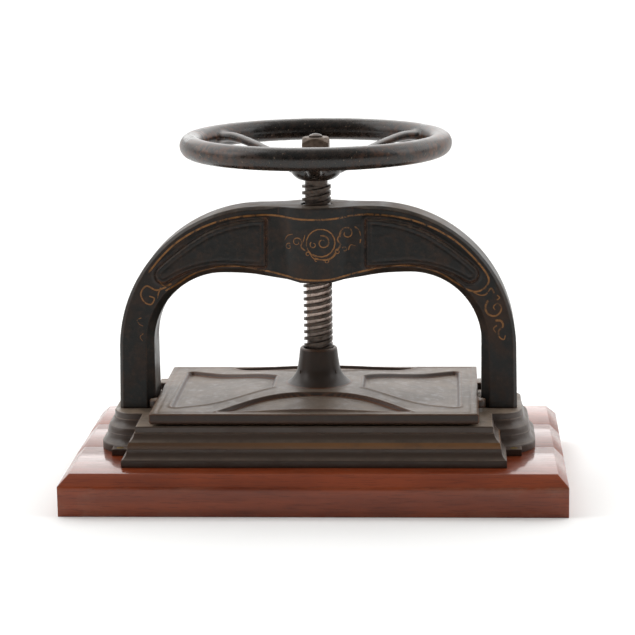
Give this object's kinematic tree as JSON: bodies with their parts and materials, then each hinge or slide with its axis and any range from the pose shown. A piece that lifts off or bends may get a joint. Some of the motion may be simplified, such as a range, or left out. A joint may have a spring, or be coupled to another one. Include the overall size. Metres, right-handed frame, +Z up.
{
  "type": "bookbinding press",
  "caption": "Cast-iron bookbinder's nipping press: an arch and a two-start screw with a spoked handwheel drive a ribbed platen onto a moulded bed on a mahogany plinth.",
  "frame": {"origin": "middle of the plinth's underside, on the surface the press stands on", "axes": "+X along the plinth's length towards the right leg, +Y to the back, +Z up along the screw's axis"},
  "size_m": [0.584, 0.358, 0.42],
  "materials": {
    "mahogany": "varnished, glossy",
    "japanned_iron": "black japan with worn gilt lining",
    "platen_iron": "worn black paint with dust",
    "wheel_iron": "black japan polished by hands, brown where worn",
    "screw_steel": "browned and oiled, bright on the worn flanks",
    "fixing_steel": "browned",
    "nut_bronze": "oiled bronze",
    "screw_brass": "dull brass"
  },
  "bodies": {
    "root": {"plinth_board_front": "mahogany", "plinth_board_middle": "mahogany", "plinth_board_back": "mahogany", "base_casting": "japanned_iron", "arch_frame": "japanned_iron", "arch_nut": "nut_bronze", "nut_set_screw": "fixing_steel", "arch_bolt_left_front": "fixing_steel", "arch_bolt_left_back": "fixing_steel", "arch_bolt_right_front": "fixing_steel", "arch_bolt_right_back": "fixing_steel", "arch_bolt_washer_left_front": "fixing_steel", "arch_bolt_washer_left_back": "fixing_steel", "arch_bolt_washer_right_front": "fixing_steel", "arch_bolt_washer_right_back": "fixing_steel", "lug_screw_left_front": "screw_brass", "lug_screw_left_back": "screw_brass", "lug_screw_right_front": "screw_brass", "lug_screw_right_back": "screw_brass"},
    "platen": {"platen": "platen_iron", "platen_pin_front": "fixing_steel", "platen_pin_back": "fixing_steel", "thrust_button": "fixing_steel"},
    "spindle": {"screw_spindle": "screw_steel", "handwheel": "wheel_iron", "wheel_washer": "fixing_steel", "wheel_nut": "fixing_steel"}
  },
  "joints": [
    {"name": "platen_lift", "type": "slide", "parent": "root", "child": "platen", "axis": [0, 0, 1], "range_m": [-0.00241, 0.07401]},
    {"name": "screw_turn", "type": "hinge", "parent": "platen", "child": "spindle", "pos_m": [0, 0, 0.25], "axis": [0, 0, 1], "range_deg": [-54, 1665]}
  ],
  "couplings": [
    {"joint": "platen_lift", "follows": "screw_turn", "m_per_rad": 0.0025465}
  ]
}
